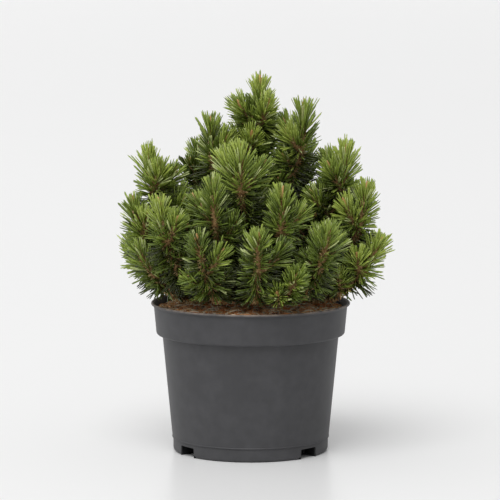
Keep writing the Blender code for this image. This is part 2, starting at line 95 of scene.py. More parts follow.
def makePotPlastic(name, bodyHex, cloudHex):
    # Recycled black-grey polypropylene, injection moulded: satin, with soft cloudy flow marks,
    # a fine spark grain, and a lip that handling and peat dust have dulled.
    # Each noise has a size in millimetres and a detail: clouds, smears, dust patches and grain.
    look = {"noises": ((30, 4.0), (11, 5.0), (6, 5.0), (0.9, 2.0)), "dust": "#8a7d72",
            "lipFoot": 0.1408, "lipTop": 0.1424}
    material, shader, place = startMaterial(name, bodyHex, 0.5, 1.4)
    cloud, smear, patches, grain = (
        addNode(material, "TexNoise", {"Scale": 1 / (size * mm), "Detail": detail}, {"Vector": place})
        for size, detail in look["noises"])
    mixed = addNode(material, "Math", links={0: cloud, 1: smear}, operation="MULTIPLY")
    colour = colourRamp(material, mixed, ((0.16, bodyHex), (0.4, cloudHex)))
    height = addNode(material, "SeparateXYZ", links={"Vector": place}).outputs["Z"]
    lip = addNode(material, "MapRange", {"From Min": look["lipFoot"], "From Max": look["lipTop"]},
                  {"Value": height})
    dusty = addNode(material, "MapRange", {"From Min": 0.3, "From Max": 0.62, "To Max": 0.85},
                    {"Value": patches})
    dust = addNode(material, "Math", links={0: lip, 1: dusty}, operation="MULTIPLY")
    worn = addNode(material, "Mix", {7: linearColour(look["dust"])}, {"Factor": dust, 6: colour},
                   data_type="RGBA")
    rough = addNode(material, "MapRange", {"To Min": 0.45, "To Max": 0.6}, {"Value": cloud})
    bump = addNode(material, "Bump", {"Strength": 0.12, "Distance": 0.12 * mm}, {"Height": grain})
    link(material, shader, {"Base Color": worn.outputs[2], "Roughness": rough, "Normal": bump})
    return material


def makePeat():
    # Milled bog peat: matt, reddish brown crumbs with pale fibres; its darkest stop is painted shade,
    # for the black holes between them.
    look = {"stops": ((0.33, "#6f4f3d"), (0.45, "#b08566"), (0.58, "#d8ac85"), (0.74, "#f3d9b2")),
            "crumbMm": 2.4, "clodMm": 9}
    material, shader, place = startMaterial("milledPeat", "#d8ac85", 0.95, 1.4)
    crumbs = addNode(material, "TexVoronoi", {"Scale": 1 / (look["crumbMm"] * mm)}, {"Vector": place})
    clods = addNode(material, "TexNoise", {"Scale": 1 / (look["clodMm"] * mm), "Detail": 8.0,
                                           "Roughness": 0.7}, {"Vector": place})
    bump = addNode(material, "Bump", {"Strength": 0.9, "Distance": 0.9 * mm}, {"Height": crumbs})
    link(material, shader, {"Base Color": colourRamp(material, clods, look["stops"]), "Normal": bump})
    return material


def makeBark(name, light, middle, dark, plateMm):
    # Young pine bark: dull, scaly, split into small plates with darker cracks between them.
    warpMm = 3
    material, shader, place = startMaterial(name, middle, 0.88, 1.42)
    bent = addNode(material, "TexNoise", {"Scale": 1 / (warpMm * mm), "Detail": 4.0}, {"Vector": place})
    plates = addNode(material, "TexVoronoi", {"Scale": 1 / (plateMm * mm)}, {"Vector": place},
                     feature="DISTANCE_TO_EDGE")
    blend = addNode(material, "Math", links={0: plates, 1: bent}, operation="MULTIPLY")
    colour = colourRamp(material, blend, ((0.0, dark), (0.09, middle), (0.3, light)))
    bump = addNode(material, "Bump", {"Strength": 0.7, "Distance": 0.5 * mm}, {"Height": blend})
    link(material, shader, {"Base Color": colour, "Normal": bump})
    return material


def makePlain(name, baseHex, roughness, ior, grainMm, strength):
    # One plain base colour, as its many pieces are joined; the grain is in the bump alone.
    material, shader, place = startMaterial(name, baseHex, roughness, ior)
    grain = addNode(material, "TexNoise", {"Scale": 1 / (grainMm * mm), "Detail": 3.0},
                    {"Vector": place})
    bump = addNode(material, "Bump", {"Strength": strength, "Distance": 0.15 * mm}, {"Height": grain})
    link(material, shader, {"Normal": bump})
    return material


# Modelling helpers

def selectFaces(action="SELECT"):
    bpy.ops.mesh.select_all(action=action)


def editWhole():
    bpy.ops.object.mode_set(mode="EDIT")
    selectFaces()


def active():
    return bpy.context.active_object


def closeEdit():
    bpy.ops.object.mode_set(mode="OBJECT")
    return active()


def selectOnly(*pieces):
    bpy.ops.object.select_all(action="DESELECT")
    for piece in pieces:
        piece.select_set(True)
    bpy.context.view_layer.objects.active = pieces[0]


def joined(pieces):
    selectOnly(*pieces)
    bpy.ops.object.join()
    return pieces[0]


def applyModifier(piece, kind, **settings):
    selectOnly(piece)
    step = piece.modifiers.new(kind.lower(), kind)
    for name, value in settings.items():
        setattr(step, name, value)
    bpy.ops.object.modifier_apply(modifier=step.name)


def roughen(piece, reliefs, **settings):
    # Lifts a piece's surface by each relief: a texture with its size and height.
    for kind, size, height in reliefs:
        texture = bpy.data.textures.new("relief", kind)
        texture.noise_scale = size * mm
        applyModifier(piece, "DISPLACE", texture=texture, texture_coords="GLOBAL",
                      strength=height * mm, mid_level=0.5, **settings)
        bpy.data.textures.remove(texture)


def settle(piece, name, material, nodes=(), smooth=True):
    # Shades and names a piece, gives it its material, puts its place into its mesh, hangs it under the
    # root and hides the imported parts it stands for.
    selectOnly(piece)
    if smooth:
        bpy.ops.object.shade_smooth()
    bpy.ops.object.transform_apply(location=True, rotation=True, scale=True)
    piece.name = piece.data.name = name
    piece.data.materials.clear()
    piece.data.materials.append(material)
    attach(piece, "root")
    if nodes:
        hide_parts(*nodes)


def arcPoints(centreR, centreZ, radius, start, end, steps):
    turns = [math.radians(start + (end - start) * k / steps) for k in range(steps + 1)]
    return [(centreR + radius * math.cos(t), centreZ + radius * math.sin(t)) for t in turns]


def beside(station, *steps):
    # Stations beside one, each by its steps out and up.
    return [(station[0] + out, station[1] + rise) for out, rise in steps]


def between(low, high, shares):
    return [(low[0] + (high[0] - low[0]) * share, low[1] + (high[1] - low[1]) * share)
            for share in shares]


def turnOnAxis(stations, sides):
    # Draws a small ring at the first station, pulls it along the others and closes both ends.
    radius, height = stations[0]
    bpy.ops.mesh.primitive_circle_add(vertices=sides, radius=radius * mm)
    editWhole()
    bpy.ops.transform.translate(value=(0, 0, height * mm))
    for nextRadius, nextHeight in stations[1:]:
        bpy.ops.mesh.extrude_region_move(
            TRANSFORM_OT_translate={"value": (0, 0, (nextHeight - height) * mm)})
        grow = nextRadius / radius
        bpy.ops.transform.resize(value=(grow, grow, 1), center_override=(0, 0, nextHeight * mm))
        radius, height = nextRadius, nextHeight
    bpy.ops.mesh.merge(type="CENTER")
    selectFaces("DESELECT")
    bpy.ops.mesh.select_non_manifold()
    bpy.ops.mesh.merge(type="CENTER")
    selectFaces()
    bpy.ops.mesh.normals_make_consistent(inside=False)
    return closeEdit()


# Pot

pot = {
    "sides": 144, "height": 142.7, "wall": 1.5, "axisRadius": 0.6, "floorRings": (20, 44, 60),
    "footRadius": 74.1, "footCorner": 3.1, "wallFoot": (74.9, 13.3), "wallTop": (84.1, 110.0),
    "bandFoot": (90.1, 112.0), "bandCorner": 2.5, "bandTop": (92.4, 139.1), "lipRadius": 95.0,
    "lipBead": 1.3, "floorCorner": 2.5, "innerFootZ": 4.0,
    "ledge": ((-0.7, -1.1), (-0.2, -0.8), (0.3, -0.35), (0.3, 0.15), (0.0, 0.6)),
    "underBand": ((0.1, 1.1), (0.9, 1.8)), "underLip": (0.6, 0.7),
    "notches": (48.0, 131.0, 228.0, 305.5), "notchWidth": 20.6, "notchHeight": 9.5, "notchDepth": 15.0,
    "notchCorner": 1.0, "notchPast": 6.0, "notchBelow": 4.0, "flare": 3.4, "flareInset": 4.0,
    "flareCorner": 0.2, "pocketWall": 1.1, "pocketBack": 7.3, "pocketFootZ": 0.2,
    "drains": (90, 180, 270, 0), "drainRing": 46.0, "drainRadius": 4.5, "drainDepth": 8.0,
}


def potOutside():
    foot, band, bead = pot["footCorner"], pot["bandCorner"], pot["lipBead"]
    bandRadius, bandZ = pot["bandFoot"]
    outside = [(radius, 0.0) for radius in (pot["axisRadius"], *pot["floorRings"])]
    outside += arcPoints(pot["footRadius"] - foot, foot, foot, -88, 0, 7)
    outside += beside(pot["wallFoot"], *pot["ledge"])
    outside += between(pot["wallFoot"], pot["wallTop"], np.linspace(0.12, 1.0, 8))
    outside += beside(pot["wallTop"], *pot["underBand"])
    outside += arcPoints(bandRadius - band, bandZ + band, band, -90, -4, 7)
    outside += between((bandRadius, bandZ + 3), pot["bandTop"], (0.3, 0.6, 1.0))
    outside += beside(pot["bandTop"], pot["underLip"])
    return outside + arcPoints(pot["lipRadius"] - bead, pot["height"] - bead, bead, -62, 178, 12)


def potInside():
    # The inner face of the wall, from under the lip down to the floor.
    wall, foot = pot["wall"], pot["footRadius"] - pot["wall"]
    inside = beside(pot["bandTop"], (-wall, -0.9))
    inside += beside(pot["bandFoot"], (-wall, 2.6), (-wall - 1.2, wall))
    inside += beside(pot["wallTop"], (-wall, 0.6)) + beside(pot["wallFoot"], (-wall, 0.0))
    inside += [(foot, pot["wallFoot"][1] - wall), (foot, pot["innerFootZ"])]
    return inside + [(radius, wall) for radius in (foot - pot["floorCorner"], 50, 20, pot["axisRadius"])]


def placedBlock(inner, outer, width, low, high, corner, azimuth, flare=0.0):
    # A rounded block that points outwards from the pot's axis, wider below by the flare.
    middle = 0.5 * (high + low) * mm
    bpy.ops.mesh.primitive_cube_add(size=1)
    editWhole()
    bpy.ops.transform.resize(value=(width * mm, (outer - inner) * mm, (high - low) * mm))
    bpy.ops.mesh.bevel(offset=corner * mm, segments=3, profile=0.5)
    bpy.ops.transform.translate(value=(0, -0.5 * (outer + inner) * mm, middle))
    block = closeEdit()
    for vertex in block.data.vertices:
        if vertex.co.z < middle:
            vertex.co.x *= 1 + flare / width
    block.rotation_euler.z = math.radians(azimuth)
    bpy.ops.object.transform_apply(rotation=True)
    return block


def cutAway(piece, cutter):
    applyModifier(piece, "BOOLEAN", operation="DIFFERENCE", solver="EXACT", object=cutter)
    bpy.data.objects.remove(cutter)


def makePot(material, paintedShadeMaterial):
    body = turnOnAxis(potOutside() + potInside(), pot["sides"])
    inner, outer = pot["footRadius"] - pot["notchDepth"], pot["footRadius"] + pot["notchPast"]
    width, flare = pot["notchWidth"], pot["flare"]
    opening = (width, -pot["notchBelow"], pot["notchHeight"], pot["notchCorner"])
    pockets = []
    for azimuth in pot["notches"]:
        cutAway(body, placedBlock(inner, outer, *opening, azimuth))
        # The foot ring's lower corners beside a slot are broken off.
        cutAway(body, placedBlock(inner + pot["flareInset"], outer, width, -flare, flare,
                                  pot["flareCorner"], azimuth, 4 * flare))
        # The moulded pocket behind the slot: the same block as a shell, open in front and below.
        pocket = placedBlock(inner, outer - pot["pocketBack"], *opening, azimuth)
        away = around(azimuth, 1.0, 0.0)
        face = away * (pot["footRadius"] - pot["wall"]) * mm
        editWhole()
        bpy.ops.mesh.bisect(plane_co=up * pot["pocketFootZ"] * mm, plane_no=up, clear_inner=True)
        selectFaces()
        bpy.ops.mesh.bisect(plane_co=face, plane_no=away, clear_outer=True)
        closeEdit()
        applyModifier(pocket, "SOLIDIFY", thickness=pot["pocketWall"] * mm, offset=1.0)
        pockets.append(pocket)
    for azimuth in pot["drains"]:
        bpy.ops.mesh.primitive_cylinder_add(vertices=32, radius=pot["drainRadius"] * mm,
                                            depth=pot["drainDepth"] * mm,
                                            location=around(azimuth, pot["drainRing"], 0.0) * mm)
        cutAway(body, active())
    settle(body, "pot_shell", material, ["pot"])
    bpy.ops.object.shade_smooth_by_angle(angle=math.radians(32))
    # The pockets take the near-black copy of the plastic: painted shade behind each slot.
    settle(joined(pockets), "pot_pockets", paintedShadeMaterial, ["pot"], smooth=False)
    print("pot made", len(body.data.polygons))


# Peat

soil = {
    "sides": 160, "clear": 0.3, "rimZ": 135.0, "topZ": 139.0, "flatRadius": 18.0, "middleRadius": 58.0,
    "topHeights": (139.0, 139.0, 137.4, 136.0, 135.0), "rimBand": 2.0, "rimStep": 1.2,
    "footRadius": 57.5, "footZ": 11.5, "topRings": 44,
    "reliefs": (("CLOUDS", 11, 2.2), ("VORONOI", 3.2, 1.5)),
}


def makeSoil(material):
    wall = pot["wall"] + soil["clear"]
    (bandRadius, bandZ), (topRadius, topZ) = pot["bandFoot"], pot["bandTop"]
    share = (soil["rimZ"] - bandZ) / (topZ - bandZ)
    rim = bandRadius + (topRadius - bandRadius) * share - wall
    radii = np.linspace(rim - soil["rimStep"], pot["axisRadius"], soil["topRings"])
    marks = (0, soil["flatRadius"], soil["middleRadius"], rim - soil["rimBand"], rim)
    heights = np.interp(radii, marks, soil["topHeights"])
    stations = [(pot["axisRadius"], wall), (soil["footRadius"], wall),
                (soil["footRadius"], soil["footZ"])]
    stations += beside(pot["wallFoot"], (-wall, 0.0)) + beside(pot["wallTop"], (-wall, 0.0))
    stations += beside(pot["bandFoot"], (-wall - 1.5, 2.0)) + [(rim, soil["rimZ"])]
    body = turnOnAxis(stations + list(zip(radii.tolist(), heights.tolist())), soil["sides"])
    inRing = (rim - 1) * mm
    chosen = [v.index for v in body.data.vertices
              if v.co.z > (soil["rimZ"] - 0.5) * mm and math.hypot(v.co.x, v.co.y) < inRing]
    body.vertex_groups.new(name="top").add(chosen, 1.0, "REPLACE")
    roughen(body, soil["reliefs"], direction="Z", vertex_group="top")
    settle(body, "peat_body", material, ["soil"])
    print("peat made", len(body.data.polygons))
    return body, rim


# Growth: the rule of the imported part, written again and then carried finer.
# Bough rows hold azimuth, reach and height of the leading shoot's tip, and its side shoots.

growth = {
    "seed": 7,
    "boughs": {
        "top": ((90, 9, 360, 4), (84, 51, 338, 3), (270, 38, 326, 3), (190, 40, 324, 3)),
        "upper": ((351, 61, 304, 3), (276, 98, 296, 3), (84, 92, 301, 3), (140, 84, 300, 4),
                  (218, 84, 297, 4)),
        "middle": ((22, 81, 266, 2), (80, 112, 265, 2), (335, 83, 274, 2), (280, 114, 252, 2),
                   (309, 111, 255, 2), (116, 112, 257, 3), (165, 112, 262, 3), (228, 112, 256, 3)),
        "low": ((332, 108, 227, 2), (4, 109, 230, 2), (41, 113, 233, 2), (77, 130, 216, 3),
                (294, 121, 211, 2), (261, 122, 212, 3), (108, 124, 211, 3), (146, 121, 214, 3),
                (188, 122, 210, 3), (226, 121, 213, 3), (23, 118, 192, 1)),
    },
    "footZ": {"low": 147.5, "middle": 168.0, "upper": 188.0, "top": 208.0},
    "footSteps": 3, "footStep": 6.4, "clear": 0.3, "leave": 0.25, "leavePerSlope": 0.5,
    "onTipWithin": 20.0, "startPull": 0.35, "endPull": 0.15, "limbRings": 6, "trunkRings": 8,
    "limbRadii": (2.6, 1.7), "leader": 52.0, "sideShare": 0.86, "stem": 32.0, "stemFootZ": 151.0,
    "lowerSides": 2, "lowerWhorl": 5.0, "uprightZ": 300.0, "tiltPerReach": 0.06, "lowTilt": 42.0,
    "lowTiltSpan": 110.0, "lowTiltPower": 2.7, "stemTilt": 20.0, "spread": (34.0, 62.0),
    "choices": 40, "leastRoom": 18.5, "limbEase": 4.0, "lowestTip": 15.0, "upturn": 0.45,
    "lengthSpan": (0.88, 1.1), "sideReach": 0.97, "leastReach": 45.0, "bend": 0.2,
    "crownRadius": 126.0, "crownZ": (205.0, 352.0), "crownPower": 2.3,
    "crownUndercut": 0.35, "crownSkin": 5.0,
}
trunk = {
    "tipZ": 236.0, "radii": (6.4, 2.8), "flare": 4.2, "flareHeight": 8.0, "lobes": 3,
    "lobeDepth": 0.2, "lobeHeight": 5.0, "lean": 7.0, "leanPower": 1.4, "sway": 3.0, "backSway": 0.6,
    "sides": 48, "rings": 84, "ringPower": 1.2, "sunk": 2.0,
    "reliefs": (("VORONOI", 3.4, 0.9), ("CLOUDS", 1.3, 0.4)),
}
# The finer twigs: short shoots at shares of the limbs (below 1) and of the stems (1 and up).
finer = {
    "places": (1.5, 1.85, 0.8, 1.2, 0.6, 1.0, 0.9, 0.7), "length": 29.0, "spread": (40.0, 78.0),
    "leastRoom": 10.5, "inside": 16.0, "lowest": 178.0,
}


def around(azimuth, reach, height):
    turn = math.radians(azimuth)
    return np.array((reach * math.sin(turn), -reach * math.cos(turn), height))


def unit(vectors):
    return vectors / np.linalg.norm(vectors, axis=-1, keepdims=True)


def squareTo(directions):
    # Two directions square to each of one or many, and to each other.
    steep = np.abs(directions[..., 2:]) > 0.9
    first = unit(np.cross(np.where(steep, (0.0, -1.0, 0.0), up), directions))
    return first, np.cross(directions, first)


def offAxis(vectors, axis):
    return vectors - axis * (vectors * axis).sum(1)[:, None]


def trunkPoint(z):
    share = (z - soil["topZ"]) / (trunk["tipZ"] - soil["topZ"])
    sway = trunk["sway"] * math.sin(math.pi * share)
    return np.array((trunk["lean"] * share ** trunk["leanPower"] - sway, trunk["backSway"] * sway, z))


def trunkRadius(z, turn=0.0):
    rise, (foot, tip) = z - soil["topZ"], trunk["radii"]
    taper = foot + (tip - foot) * rise / (trunk["tipZ"] - soil["topZ"])
    lobe = trunk["lobeDepth"] * math.exp(-rise / trunk["lobeHeight"]) * math.cos(trunk["lobes"] * turn)
    return (taper + trunk["flare"] * math.exp(-rise / trunk["flareHeight"])) * (1.0 + lobe)


def limbControls(end, direction, footZ):
    # The four points of a smooth curve from the trunk to the leader's stem.
    if math.hypot(end[0], end[1]) < growth["onTipWithin"]:
        start = trunkPoint(trunk["tipZ"]) + up * growth["clear"]
        outward = leave = up
    else:
        middle = trunkPoint(footZ)
        outward = unit(np.array((*(end - middle)[:2], 0.0)))
        slope = (end[2] - footZ) / max(np.linalg.norm((end - middle)[:2]), 1.0)
        leave = unit(outward + up * (growth["leave"] + growth["leavePerSlope"] * max(slope, 0.0)))
        start = middle + outward * (trunkRadius(footZ) + growth["clear"])
    span = np.linalg.norm(end - start)
    return np.array((start, start + leave * span * growth["startPull"],
                     end - (direction + outward) * span * growth["endPull"],
                     end - direction * growth["clear"]))


def alongCurve(controls, shares):
    t = np.asarray(shares)[:, None]
    a, b, c, d = controls
    return a * (1 - t) ** 3 + 3 * b * t * (1 - t) ** 2 + 3 * c * t ** 2 * (1 - t) + d * t ** 3


def planBoughs():
    boughs = []
    for level, rows in growth["boughs"].items():
        turns = sorted(row[0] for row in rows)
        for azimuth, reach, height, sides in rows:
            step = growth["footStep"] * (turns.index(azimuth) % growth["footSteps"])
            footZ = growth["footZ"][level] + step
            tip = around(azimuth, reach, height)
            low = max((growth["uprightZ"] - height) / growth["lowTiltSpan"], 0.0)
            tilt = math.radians(growth["tiltPerReach"] * reach
                                + growth["lowTilt"] * low ** growth["lowTiltPower"])
            direction, stemDirection = (around(azimuth, math.sin(t), math.cos(t))
                                        for t in (tilt, tilt + math.radians(growth["stemTilt"])))
            whorl = tip - direction * growth["leader"]
            stem = min(growth["stem"], (whorl[2] - growth["stemFootZ"]) / stemDirection[2])
            end = whorl - stemDirection * stem
            boughs.append({"tip": tip, "direction": direction, "whorl": whorl, "end": end,
                           "stemDirection": stemDirection, "sides": sides,
                           "lowerWhorl": end + stemDirection * growth["lowerWhorl"],
                           "sideReach": max(reach * growth["sideReach"], growth["leastReach"]),
                           "curve": limbControls(end, stemDirection, footZ)})
    return boughs


def distances(points, starts, ends):
    along = ends - starts
    share = ((points[:, None] - starts) * along).sum(2) / (along * along).sum(1)
    share = np.clip(share, 0.0, 1.0)[..., None]
    return np.linalg.norm(points[:, None] - starts - along * share, axis=2)


def limbSegments(boughs):
    # Both ends, radius and owner of every straight step of the limbs and the trunk.
    shares = np.linspace(0.0, 1.0, growth["limbRings"])
    thick = np.linspace(*growth["limbRadii"], growth["limbRings"])
    lines = [(number, alongCurve(bough["curve"], shares), thick) for number, bough in enumerate(boughs)]
    levels = np.linspace(soil["topZ"], trunk["tipZ"], growth["trunkRings"])
    lines.append((-1, [trunkPoint(z) for z in levels], [trunkRadius(z) for z in levels]))
    rows = [(low, high, radius, owner) for owner, line, radii in lines
            for low, high, radius in zip(line, line[1:], radii)]
    return [np.array(values) for values in zip(*rows)]


def crownRadius(z):
    waistZ, topZ = growth["crownZ"]
    if z < waistZ:
        return growth["crownRadius"] - growth["crownUndercut"] * (waistZ - z)
    share = min((z - waistZ) / (topZ - waistZ), 1.0)
    return growth["crownRadius"] * math.sqrt(1.0 - share ** growth["crownPower"])


def sideShoot(shoots, limbs, number, direction, foot, chance, size, rule, widest):
    # Of several seeded directions round the leader, the one with the most room is kept.
    across, along = squareTo(direction)
    best, most = None, rule["leastRoom"]
    starts, ends, owners = (np.array([shoot[key] for shoot in shoots])
                            for key in ("start", "end", "owner"))
    limbStarts, limbEnds, limbRadii, limbOwners = limbs
    for _ in range(growth["choices"]):
        turn = chance.uniform(0.0, math.tau)
        angle = math.radians(chance.uniform(*rule["spread"]))
        outwards = across * math.cos(turn) + along * math.sin(turn)
        heading = unit(direction * math.cos(angle) + outwards * math.sin(angle) + up * growth["upturn"])
        length = size * chance.uniform(*growth["lengthSpan"])
        end = foot + heading * length
        limit = min(crownRadius(end[2]) - growth["crownSkin"], widest)
        if math.hypot(end[0], end[1]) > limit or end[2] < soil["topZ"] + growth["lowestTip"]:
            continue
        places = foot + np.outer((0.5, 0.75, 1.0), heading * length)
        away = distances(places, starts, ends)
        limbAway = (distances(places, limbStarts, limbEnds) - limbRadii)[:, limbOwners != number]
        room = min(away[:, owners != number].min(), away[2, owners == number].min(),
                   limbAway.min() + growth["limbEase"])
        if room > most:
            best, most = end, room
    return best


def addShoot(shoots, owner, start, end, kind):
    # A shoot comes out flatter than its chord and turns up, on a curve of three points.
    heading = unit(end - start)
    upward = up - heading * heading[2]
    length = float(np.linalg.norm(end - start))
    bend = 0.0 if kind == "stem" else growth["bend"]
    shoots.append({"owner": owner, "start": start, "end": end, "kind": kind, "length": length,
                   "middle": 0.5 * (start + end) - upward * bend * length})


def shootPoints(shoot, shares):
    # Places on a shoot's curve, and its heading at each.
    t = np.asarray(shares)[:, None]
    a, b, c = shoot["start"], shoot["middle"], shoot["end"]
    places = a * (1 - t) ** 2 + 2 * b * t * (1 - t) + c * t ** 2
    return places, unit((b - a) * (1 - t) + (c - b) * t)


def growShoots(boughs):
    limbs = limbSegments(boughs)
    chance = np.random.default_rng(growth["seed"])
    shoots = []
    for number, bough in enumerate(boughs):
        addShoot(shoots, number, bough["end"], bough["whorl"], "stem")
        addShoot(shoots, number, bough["whorl"], bough["tip"], "leader")
    size = growth["leader"] * growth["sideShare"]
    for order in range(max(bough["sides"] for bough in boughs) + growth["lowerSides"]):
        for number, bough in enumerate(boughs):
            if order < bough["sides"] + growth["lowerSides"]:
                foot = bough["whorl"] if order < bough["sides"] else bough["lowerWhorl"]
                end = sideShoot(shoots, limbs, number, bough["direction"], foot, chance, size, growth,
                                bough["sideReach"])
                if end is not None:
                    addShoot(shoots, number, foot, end, "side")
    main = len(shoots)
    for place in finer["places"]:
        for number, bough in enumerate(boughs):
            if place < 1.0:
                foot, near = alongCurve(bough["curve"], (place, place - 0.05))
                direction = unit(foot - near)
            else:
                direction = bough["stemDirection"]
                foot = bough["end"] + (bough["whorl"] - bough["end"]) * (place - 1.0)
            end = sideShoot(shoots, limbs, number, direction, foot, chance, finer["length"], finer,
                            bough["sideReach"] - finer["inside"])
            if end is not None and end[2] > finer["lowest"]:
                addShoot(shoots, number, foot, end, "short")
    print("shoots", main, "and", len(shoots) - main, "short ones")
    return shoots


# Trunk and boughs

limbBark = {
    "rings": 5, "steps": 56, "collar": 1.3, "rootedMm": 1.6,
    "reliefs": (("VORONOI", 2.2, 0.7), ("CLOUDS", 1.1, 0.3)),
}


def makeTrunk(material):
    foot = soil["topZ"] - trunk["sunk"]
    levels = foot + (trunk["tipZ"] - foot) * np.linspace(0.0, 1.0, trunk["rings"]) ** trunk["ringPower"]
    bpy.ops.mesh.primitive_circle_add(vertices=trunk["sides"], radius=mm, fill_type="NGON")
    editWhole()
    bpy.ops.transform.translate(value=trunkPoint(foot) * mm)
    for low, high in zip(levels, levels[1:]):
        bpy.ops.mesh.extrude_region_move(
            TRANSFORM_OT_translate={"value": (trunkPoint(high) - trunkPoint(low)) * mm})
    body = closeEdit()
    # Each ring is drawn out to the trunk's own radius there, lobes and all.
    for vert in body.data.vertices:
        z = vert.co.z / mm
        centre = trunkPoint(z)
        turn = math.atan2(vert.co.y / mm - centre[1], vert.co.x / mm - centre[0])
        radius = trunkRadius(max(z, soil["topZ"]), turn) if z < trunk["tipZ"] else trunk["radii"][1]
        vert.co.x = (centre[0] + math.cos(turn) * radius) * mm
        vert.co.y = (centre[1] + math.sin(turn) * radius) * mm
    roughen(body, trunk["reliefs"])
    settle(body, "trunk_bark", material, ["trunk"])
    print("trunk made", len(body.data.polygons))


def makeBoughs(boughs, material):
    limbs = []
    footThick, tipThick = growth["limbRadii"]
    for bough in boughs:
        a, b, c, d = bough["curve"]
        bpy.ops.curve.primitive_bezier_curve_add()
        limb = active().data
        limb.dimensions = "3D"
        limb.resolution_u = limbBark["steps"]
        limb.bevel_depth = footThick * mm
        limb.bevel_resolution = limbBark["rings"]
        limb.use_fill_caps = True
        ends = ((a + unit(a - b) * limbBark["rootedMm"], 2 * a - b, b, limbBark["collar"]),
                (d + bough["direction"], c, 2 * d - c, tipThick / footThick))
        for point, (place, before, after, thick) in zip(limb.splines[0].bezier_points, ends):
            point.handle_left_type = point.handle_right_type = "FREE"
            point.co, point.handle_left, point.handle_right = place * mm, before * mm, after * mm
            point.radius = thick
        bpy.ops.object.convert(target="MESH")
        limbs.append(active())
    body = joined(limbs)
    settle(body, "bough_bark", material, boughNodes)
    roughen(body, limbBark["reliefs"])
    print("boughs made", len(body.data.polygons))


# Many small things from arrays

def roundOutline(sides, ridge=0.0):
    return [(360.0 * side / sides, 1.0 + ridge * (-1) ** side) for side in range(sides)]


def sweptPiece(name, swept, chosen, outline, material, nodes=(), smooth=True):
    # Sweeps an outline of (angle, reach) along the chosen lines, each closed at its last point.
    lines, radii, across, along = (values[chosen] for values in swept)
    count, stations = lines.shape[:2]
    rings, sides = stations - 1, len(outline)
    angles, reaches = np.array(outline, dtype=float).T
    angles = np.radians(angles)
    spokes = (across[:, None] * (np.cos(angles) * reaches)[:, None]
              + along[:, None] * (np.sin(angles) * reaches)[:, None])
    ringPoints = lines[:, :rings, None] + spokes[:, None] * radii[:, :rings, None, None]
    points = np.concatenate([ringPoints.reshape(count, rings * sides, 3), lines[:, rings:]], axis=1)
    pattern = []
    for ring in range(rings - 1):
        for side in range(sides):
            low, lowNext = ring * sides + side, ring * sides + (side + 1) % sides
            pattern += [(low, lowNext, lowNext + sides), (low, lowNext + sides, low + sides)]
    top = (rings - 1) * sides
    pattern += [(top + side, top + (side + 1) % sides, rings * sides) for side in range(sides)]
    pattern += [(0, side + 1, side) for side in range(1, sides - 1)]
    shifts = (np.arange(count) * (rings * sides + 1))[:, None, None]
    faces = (np.array(pattern)[None] + shifts).reshape(-1, 3)
    mesh = bpy.data.meshes.new(name)
    mesh.from_pydata(points.reshape(-1, 3) * mm, [], faces)
    piece = bpy.data.objects.new(name, mesh)
    bpy.context.scene.collection.objects.link(piece)
    settle(piece, name, material, nodes, smooth)
    print(name, len(faces))


# Needles stand in pairs, each pair from a papery sheath. Marks run from a shoot's foot to its apex.
# Tints are numbered in their order here, from the palest to the oldest.

needles = {
    "marks": (0.0, 0.15, 0.4, 0.58, 0.76, 0.88, 1.0),
    "leans": (82, 60, 43, 33, 26, 20, 14), "leanSpread": 7.0,
    "lengths": (15.5, 18, 20, 21.5, 21, 19.5, 16), "lengthSpread": 0.1, "crowding": 1.15,
    "stepSpan": (0.1, 0.9), "turnSpread": 0.12, "footShare": 0.7, "firstShare": 0.02,
    "openFromZ": (300.0, 240.0), "openness": (1.0, 1.3), "opennessSpread": 0.08,
    "lowestZ": 148.5, "paintedShadeBelowZ": 292.0, "paintedShadeWithin": 78.0,
    "halfWidth": 0.8, "widthSpread": 0.07, "twinAngle": 3.4, "twinSpread": 0.03,
    "arch": 1.6, "archSpread": 0.8, "swaySpread": 0.6,
    "stations": (0.0, 0.4, 0.91, 1.0), "widths": (0.8, 1.0, 0.82, 0.0),
    "section": ((0, 1.0), (90, 0.9), (180, 1.0)),
    "apexBack": {"stem": 0.0, "leader": 16.5, "side": 16.5, "short": 13.0}, "shortScale": 0.85,
    "perMm": 2.3, "shortPerMm": 2.6, "stemPerMm": 2.8, "limbPerMm": 3.0,
    "limbShares": (0.45, 0.72, 1.0), "oldLeans": (104, 82), "oldLengths": (18, 20),
    "stemTints": ((3, 4, 5), (0.2, 0.4, 0.4)), "youngTints": ((1, 2), (0.75, 0.25)),
    "paintedShadeFootTo": (0.4, 0.6), "duller": 0.24, "brighter": 0.86, "paintedHighlight": 0.91, "paintedHighlightFrom": 0.2,
    "perPiece": 12000,
}
# The first tint, the palest, is a painted highlight for a few needles.
tints = {
    "paintedHighlight": "#bcc784", "fresh": "#a0b04f", "leaf": "#899b41", "deep": "#67792f", "shade": "#46521c",
    "old": "#363d18",
}
sheaths = {
    "length": 4.2, "stations": (-0.2, 0.75, 1.0), "radii": (1.05, 0.95, 0.0), "weathered": 0.5,
}
twigs = {
    "footRadius": 2.6, "apexRadius": 2.0, "shortRadius": 1.4, "uneven": 0.09, "stations": 11,
    "sides": 9, "intoBud": 0.02,
}


